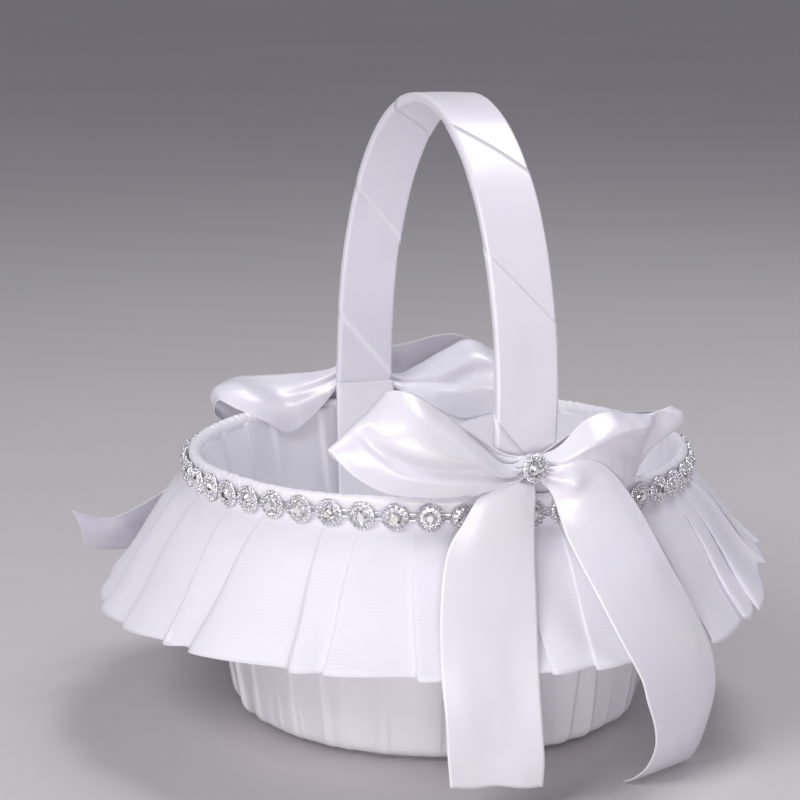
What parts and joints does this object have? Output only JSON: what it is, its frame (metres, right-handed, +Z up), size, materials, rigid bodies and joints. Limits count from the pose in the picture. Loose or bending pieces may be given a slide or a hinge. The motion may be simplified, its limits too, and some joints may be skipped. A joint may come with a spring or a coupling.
{
  "type": "flower girl basket",
  "caption": "Round satin-covered flower girl basket with an arched ribbon-wrapped handle, flared tulle skirt, rhinestone band and ribbon bows.",
  "frame": {"origin": "centre of the round underside, on the surface the basket stands on", "axes": "+Z up; the handle's arch spans Y, with the front foot at -Y and the back foot at +Y; +X to the right seen from the front foot"},
  "size_m": [0.2561, 0.259, 0.2323],
  "materials": {
    "base_board": "satin-covered card",
    "moulded_bowl": "matt moulding",
    "wadding": "soft polyester wadding",
    "satin_cover": "white satin, soft sheen",
    "satin_lining": "white satin, soft sheen",
    "satin_handle": "white satin ribbon, soft sheen",
    "satin_ribbon": "white satin ribbon, bright sheen",
    "tulle": "fine white net, slightly see-through",
    "tape": "woven tape",
    "steel_wire": "drawn wire",
    "silver_setting": "bright silver plate",
    "crystal": "clear cut glass, foiled back",
    "handle_strip": "matt strip"
  },
  "bodies": {
    "basket": {"base_disc": "base_board", "bowl_shell": "moulded_bowl", "floor_pad": "wadding", "outer_cover": "satin_cover", "inner_lining": "satin_lining", "rim_wire": "steel_wire", "rim_binding": "satin_cover", "skirt_inner": "tulle", "skirt_outer": "tulle", "gather_tape": "tape", "band_settings": "silver_setting", "band_halos": "crystal", "band_stones": "crystal", "band_links": "silver_setting", "handle_core": "handle_strip", "handle_wrap": "satin_handle", "front_foot_patch": "satin_lining", "back_foot_patch": "satin_lining", "front_knot": "satin_ribbon", "front_loop_left": "satin_ribbon", "front_loop_right": "satin_ribbon", "front_brooch_setting": "silver_setting", "front_brooch_halo": "crystal", "front_brooch_stone": "crystal", "back_knot": "satin_ribbon", "back_loop_left": "satin_ribbon", "back_loop_right": "satin_ribbon", "back_brooch_setting": "silver_setting", "back_brooch_halo": "crystal", "back_brooch_stone": "crystal"},
    "front_left_ribbon": {"front_tail_left": "satin_ribbon"},
    "front_right_ribbon": {"front_tail_right": "satin_ribbon"},
    "back_left_ribbon": {"back_tail_left": "satin_ribbon"},
    "back_right_ribbon": {"back_tail_right": "satin_ribbon"}
  },
  "joints": [
    {"name": "front_left_swing", "type": "hinge", "parent": "basket", "child": "front_left_ribbon", "pos_m": [0, -0.0991, 0.1055], "axis": [-1, 0, 0], "range_deg": [0, 60]},
    {"name": "front_right_swing", "type": "hinge", "parent": "basket", "child": "front_right_ribbon", "pos_m": [0, -0.0991, 0.1055], "axis": [-1, 0, 0], "range_deg": [0, 60]},
    {"name": "back_left_swing", "type": "hinge", "parent": "basket", "child": "back_left_ribbon", "pos_m": [0, 0.0991, 0.1055], "axis": [0, 0, -1], "range_deg": [0, 60]},
    {"name": "back_right_swing", "type": "hinge", "parent": "basket", "child": "back_right_ribbon", "pos_m": [0, 0.0991, 0.1055], "axis": [1, 0, 0], "range_deg": [0, 60]}
  ]
}
